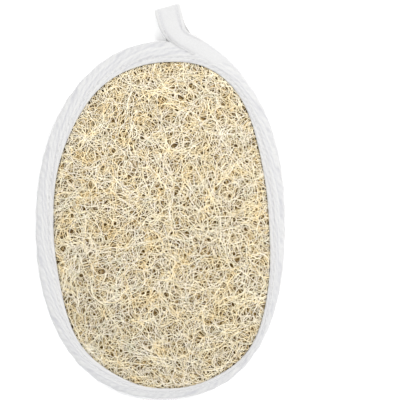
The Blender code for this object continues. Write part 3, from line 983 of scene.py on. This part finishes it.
def loop_centreline():
    """Centres, half-width vectors and face normals of the loop's tape, from its root to its sewn end."""
    low = LOOP_FLOOR_GAP + LOOP_THICKNESS / 2
    fold_centre = LOOP_FOLD - LOOP_AXIS * (LOOP_FOLD_RADIUS + LOOP_THICKNESS / 2)
    fold_height = low + LOOP_FOLD_RADIUS
    top = fold_height + LOOP_FOLD_RADIUS
    points = np.concatenate((np.array(LOOP_ROUTE) * MM + SHIFT, [fold_centre]))
    route = refined(points[None], LOOP_SPAN_ROWS)[0]
    ahead = evened(np.gradient(route, axis=0), 11)
    ahead[-1] = LOOP_FOLD_AXIS
    ahead = unit(ahead)
    side = np.stack((ahead[:, 1], -ahead[:, 0]), -1)
    share = np.linspace(0, 1, len(route))
    on_rim = RIM_HEIGHT + CLEARANCE + LOOP_THICKNESS / 2 + loop_lift(route[:, 0], route[:, 1])
    leaving = smooth(0.70, 1.0, share)
    height = on_rim * (1 - leaving) + top * leaving
    width = LOOP_ROOT_WIDTH + (LOOP_WIDTH - LOOP_ROOT_WIDTH) * smooth(0.05, 0.50, share)
    width = width * (1 - 0.11 * bell(share, 0.76, 0.11))
    width = width + (LOOP_FOLD_WIDTH - LOOP_WIDTH) * smooth(0.8, 1.0, share)
    fold_centre = fold_centre - LOOP_SHIFT
    route = route - LOOP_SHIFT * smooth(0.62, 0.95, share)[:, None]
    centres = [*raised(route, height)]
    sides = [*raised(side * width[:, None] / 2, np.zeros(len(route)))]
    normals = [np.array((0.0, 0.0, 1.0))] * len(route)
    across = np.array((LOOP_FOLD_AXIS[1], -LOOP_FOLD_AXIS[0], 0.0)) * LOOP_FOLD_WIDTH / 2
    for turn in np.linspace(0, pi, LOOP_FOLD_ROWS)[1:-1]:
        plan = fold_centre + LOOP_FOLD_AXIS * LOOP_FOLD_RADIUS * sin(turn)
        centres.append(np.append(plan, fold_height + LOOP_FOLD_RADIUS * cos(turn)))
        sides.append(across)
        normals.append(np.append(LOOP_FOLD_AXIS * sin(turn), cos(turn)))
    for back_share in np.linspace(0, 1, LOOP_BACK_ROWS):
        aside = LOOP_BACK_ASIDE * smooth(0.0, 0.45, back_share)
        centres.append(np.append(fold_centre + (LOOP_END - fold_centre) * back_share + aside, low))
        sides.append(across * (1 - 0.12 * bell(back_share, 0.25, 0.15)))
        normals.append(np.array((0.0, 0.0, -1.0)))
    return np.array(centres), np.array(sides), np.array(normals)


def tape_section(count):
    """Across and thickness shares round a soft flat tape with two edge-stitched grooves."""
    turn = 2 * pi * (np.arange(count) + 0.5) / count
    across = signed_power(np.cos(turn), 0.32)
    thick = signed_power(np.sin(turn), 0.55)
    groove = bell(np.abs(across), LOOP_STITCH_SHARE, 0.07)
    return across, thick * (1 - 0.30 * groove) * (1 - 0.35 * across**8)


def fit_to_rim(rows, sides, across):
    """The loop's root let into the binding, its outer half bent down over the rim's edge."""
    share = np.linspace(0, 1, LOOP_ROUTE_ROWS)[:, None]
    outer = np.clip(across, 0, 1)[None] ** 2
    inner = np.clip(-across, 0, 1)[None] ** 2
    tucked = 2.2 * MM * (1 - smooth(0.40, 0.80, share)) + 0.8 * MM * (1 - smooth(0.0, 0.15, share))
    tucked = tucked + 1.0 * MM * bell(share, 0.66, 0.12)
    drawn_in = 0.9 * MM * smooth(0.25, 0.45, share) * (1 - smooth(0.68, 0.85, share))
    later = 0.07 * (1 - across)[None]
    sunk = 1.9 * MM * (1 - smooth(0.04 + later, 0.34 + later, share))
    sunk = sunk + 0.95 * MM * (1 - smooth(0.68, 0.88, share))
    pressed = smooth(0.30, 0.45, share) * (1 - smooth(0.84, 0.96, share))
    sunk = sunk + 0.8 * MM * inner**2.5 * pressed
    bent = 2.2 * MM * np.sqrt(tucked / MM) * outer
    sideways = unit(sides[:LOOP_ROUTE_ROWS])[:, None]
    rows[:LOOP_ROUTE_ROWS] -= sideways * (tucked * outer - drawn_in * inner)[..., None]
    rows[:LOOP_ROUTE_ROWS, :, 2] -= bent + sunk


def make_loop(material, thread):
    centres, sides, normals = loop_centreline()
    across, thick = tape_section(44)
    rows = centres[:, None] + sides[:, None] * across[None, :, None]
    rows = rows + normals[:, None] * (LOOP_THICKNESS / 2 * thick)[None, :, None]
    run = run_along(centres)
    wave = 0.05 * MM * np.sin(run / MM * 1.1)[:, None] * np.sin(3 * across + 1)[None]
    rows = rows + normals[:, None] * wave[..., None]
    fit_to_rim(rows, sides, across)
    tone = 0.55 + 0.25 * (streaks(run[:, None], np.abs(across) * LOOP_WIDTH / 2, 0.0) - 0.55)
    # Painted shade: the tone lowered along the two stitched grooves.
    colours = streak_colours(tone - 0.5 * bell(np.abs(across), LOOP_STITCH_SHARE, 0.06))
    faces = strip_faces(*rows.shape[:2])
    loop = add_piece("hanging_loop_tape", rows, faces, material, colours)
    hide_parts("hanging_loop")
    make_loop_stitches(centres, sides, normals, run, thread)


def make_loop_stitches(centres, sides, normals, run, thread):
    """Two rows along the tape's edges, and two across its sewn end."""
    points = len(LOOP_STITCH_HUMP)
    half = LOOP_THICKNESS / 2

    def at_run(values, at):
        return np.stack([np.interp(at, run, values[:, k]) for k in range(3)], -1)

    paths = []
    for sign in (-1, 1):
        for begin in np.arange(LOOP_STITCH_START, run[-1] - 4 * MM, LOOP_STITCH_SPACING):
            at = begin + np.linspace(0, LOOP_STITCH_LENGTH, points)
            beside = at_run(sides, at) * (sign * LOOP_STITCH_SHARE)
            out = at_run(normals, at) * (half * 0.74 + LOOP_STITCH_HUMP)[:, None]
            paths.append(at_run(centres, at) + beside + out)
    for place in np.linspace(-0.62, 0.62, 5):
        for back_by in (2.2 * MM, 7.5 * MM):
            centre = at_run(centres, np.full(points, run[-1] - back_by))
            beside = sides[-1] * (place + np.linspace(-0.11, 0.11, points))[:, None]
            paths.append(centre + beside + normals[-1] * (half + LOOP_STITCH_HUMP)[:, None])
    radii = np.full((len(paths), points), LOOP_THREAD_RADIUS)
    thread_points, quads = tubes(np.array(paths), radii, THREAD_SIDES)
    add_piece("loop_thread", thread_points, [quads], thread)


# Terry cloth back

CLOTH_SPACING = 1.25 * MM
CLOTH_LIMIT = 0.955
CLOTH_JITTER = 0.3
CLOTH_BUMPS = 0.2
PILE_PITCH = 1.75 * MM
PILE_LIMIT = 0.885
PILE_SPAN = (0.8, 1.5)
PILE_HEIGHT = (0.42, 0.68)
PILE_HEIGHT_BY_STRAP = 0.6 * MM
PILE_LEAN = 0.35
PILE_ROOT = 0.27 * MM
PILE_RADIUS = 0.25 * MM
PILE_POINTS = 5


def make_terry(material):
    draw = np.random.default_rng(71)
    xs = np.arange(-60 * MM, 61 * MM, CLOTH_SPACING)
    ys = np.arange(-98 * MM, 79 * MM, CLOTH_SPACING)
    x, y = np.meshgrid(xs, ys)
    x = x + draw.uniform(-CLOTH_JITTER, CLOTH_JITTER, x.shape) * MM
    y = y + draw.uniform(-CLOTH_JITTER, CLOTH_JITTER, y.shape) * MM
    z = backing_under(x, y) + draw.uniform(0, CLOTH_BUMPS, x.shape) * MM
    points, faces = open_sheet(x, y, z, PAD.reach(x, y) < CLOTH_LIMIT)
    cloth = add_piece("terry_cloth", points, [faces], material)
    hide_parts("terry_backing")
    pile = make_pile(draw, material)


def make_pile(draw, material):
    """The terry's loops: small arches that hang from the cloth, kept low where the strap's ends cross it."""
    xs = np.arange(-56 * MM, 57 * MM, PILE_PITCH)
    ys = np.arange(-92 * MM, 74 * MM, PILE_PITCH)
    starts = grid_points(xs, ys)
    starts = starts + draw.uniform(-0.5, 0.5, starts.shape) * MM
    starts = starts[PAD.reach(*starts.T) < PILE_LIMIT]
    count = len(starts)
    heading = draw.uniform(0, 2 * pi, count)
    lean = draw.normal(0, PILE_LEAN, (count, 2)) * MM
    span = draw.uniform(*PILE_SPAN, count) * MM
    tall = draw.uniform(*PILE_HEIGHT, count) * MM
    share = np.linspace(-1, 1, PILE_POINTS)
    arch = 1 - share**2
    spread = direction(heading)[:, None] * (span[:, None] / 2 * share)[..., None]
    plan = starts[:, None] + spread + lean[:, None] * arch[None, :, None]
    root = backing_under(*starts.T)[:, None] + PILE_ROOT
    near_strap = np.abs(starts[:, 1] - STRAP_Y) < STRAP_WIDTH / 2 + 1.5 * MM
    over_strap = near_strap & (PAD.reach(*starts.T) > 0.6)
    tall = np.where(over_strap, np.minimum(tall, PILE_HEIGHT_BY_STRAP), tall)
    paths = raised(plan, root - tall[:, None] * arch)
    points, quads = tubes(paths, np.full((count, PILE_POINTS), PILE_RADIUS), 3)
    return add_piece("terry_pile", points, [quads], material)


# Elastic strap

STRAP_RIBS = 28
STRAP_COLUMNS_PER_RIB = 6
STRAP_STATIONS = 61
STRAP_RIB_DEPTH = 0.16 * MM
STRAP_EDGE_THINNING = 0.30 * MM


def make_strap(material):
    across = np.linspace(-1, 1, STRAP_RIBS * STRAP_COLUMNS_PER_RIB + 1)
    stations = np.linspace(-1, 1, STRAP_STATIONS)
    over_binding = TAPE + CLEARANCE
    bottom = over_binding - (over_binding - STRAP_FLOOR_GAP) * (1 - stations**4)
    ribbing = STRAP_RIB_DEPTH * np.abs(np.cos(pi * STRAP_RIBS * (across + 1) / 2)) ** 0.7
    edge = smooth(0.965, 1.0, np.abs(across)) * STRAP_EDGE_THINNING
    low = bottom[:, None] + STRAP_RIB_DEPTH - ribbing[None] + edge[None]
    high = bottom[:, None] + STRAP_THICKNESS - STRAP_RIB_DEPTH + ribbing[None] - edge[None]
    x = np.broadcast_to((stations * STRAP_HALF_LENGTH)[:, None], low.shape)
    y = np.broadcast_to((STRAP_Y + across * STRAP_WIDTH / 2)[None], low.shape)
    under = np.stack((x, y, low), -1)
    over = np.stack((x, y, high), -1)[:, ::-1]
    rows = np.concatenate((under, over), axis=1)
    faces = strip_faces(*rows.shape[:2], flip=True)
    # Painted shade: darker in the grooves between the ribs, lighter on the rib tops.
    rib_painted_shade = np.broadcast_to(np.concatenate((ribbing, ribbing[::-1])) / ribbing.max(), rows.shape[:2])
    colours = streak_colours(rib_painted_shade)
    strap = add_piece("elastic_strap", rows, faces, material, colours)
    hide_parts("hand_strap")


# Floor, light and camera

FLOOR_HALF_WIDTH = 6.0
FLOOR_Z = -0.35 * MM
WORLD_STRENGTH = 0.74
LIGHT_SIZE = 0.85
FRAME_WIDTH = 199.44 * MM
FRAME_CENTRE = (18.75 * MM + SHIFT[0], 9.97 * MM + SHIFT[1])
FOCUS_HEIGHT = 6 * MM
LENS = 150.0
SENSOR_WIDTH = 36.0

# Name, place in metres, watts, colour
LIGHTS = (
    ("right_light", (0.80, 0.50, 1.45), 20.6, (1.0, 0.985, 0.96)),
    ("left_light", (-0.60, 0.50, 1.50), 10.3, (1.0, 0.99, 0.975)),
    ("near_light", (0.10, -0.75, 1.50), 5.1, (0.98, 0.99, 1.0)),
)


def plain_object(name, data):
    made = bpy.data.objects.new(name, data)
    bpy.context.scene.collection.objects.link(made)
    return made


def make_floor():
    mesh = bpy.data.meshes.new("floor")
    half = FLOOR_HALF_WIDTH
    corners = [(x, y, FLOOR_Z) for x, y in ((-half, -half), (half, -half), (half, half), (-half, half))]
    mesh.from_pydata(corners, [], [(0, 1, 2, 3)])
    nodes = Nodes("pale_floor", roughness=0.9)
    nodes.colour((0.98, 0.98, 0.98, 1.0))
    mesh.materials.append(nodes.material)
    plain_object("floor", mesh)


def make_light(name, place, energy, colour):
    """A soft round lamp that points at the pad."""
    light = bpy.data.lights.new(name, "AREA")
    light.shape = "DISK"
    light.size = LIGHT_SIZE
    light.energy = energy
    light.color = colour
    lamp = plain_object(name, light)
    lamp.location = place
    toward = -lamp.location
    lamp.rotation_mode = "QUATERNION"
    lamp.rotation_quaternion = toward.to_track_quat("-Z", "Y")


def make_world():
    world = bpy.data.worlds.new("studio")
    world.use_nodes = True
    background = world.node_tree.nodes["Background"]
    background.inputs["Color"].default_value = (0.98, 0.99, 1.0, 1.0)
    background.inputs["Strength"].default_value = WORLD_STRENGTH
    bpy.context.scene.world = world
    bpy.context.scene.view_settings.view_transform = "Standard"


def make_camera():
    """Straight above, so that the pad fills the picture where it does in the photograph."""
    camera = bpy.data.cameras.new("camera")
    camera.lens = LENS
    camera.sensor_width = SENSOR_WIDTH
    camera.clip_start = 0.05
    camera.clip_end = 30.0
    made = plain_object("camera", camera)
    distance = FRAME_WIDTH / SENSOR_WIDTH * LENS
    made.location = (*FRAME_CENTRE, FOCUS_HEIGHT + distance)
    bpy.context.scene.camera = made


def main():
    tape = tape_material()
    thread = thread_material()
    make_loofah()
    make_binding(tape)
    make_seams(thread)
    make_loop(tape, thread)
    make_terry(terry_material())
    make_strap(elastic_material())
    make_floor()
    for light in LIGHTS:
        make_light(*light)
    make_world()
    make_camera()


main()
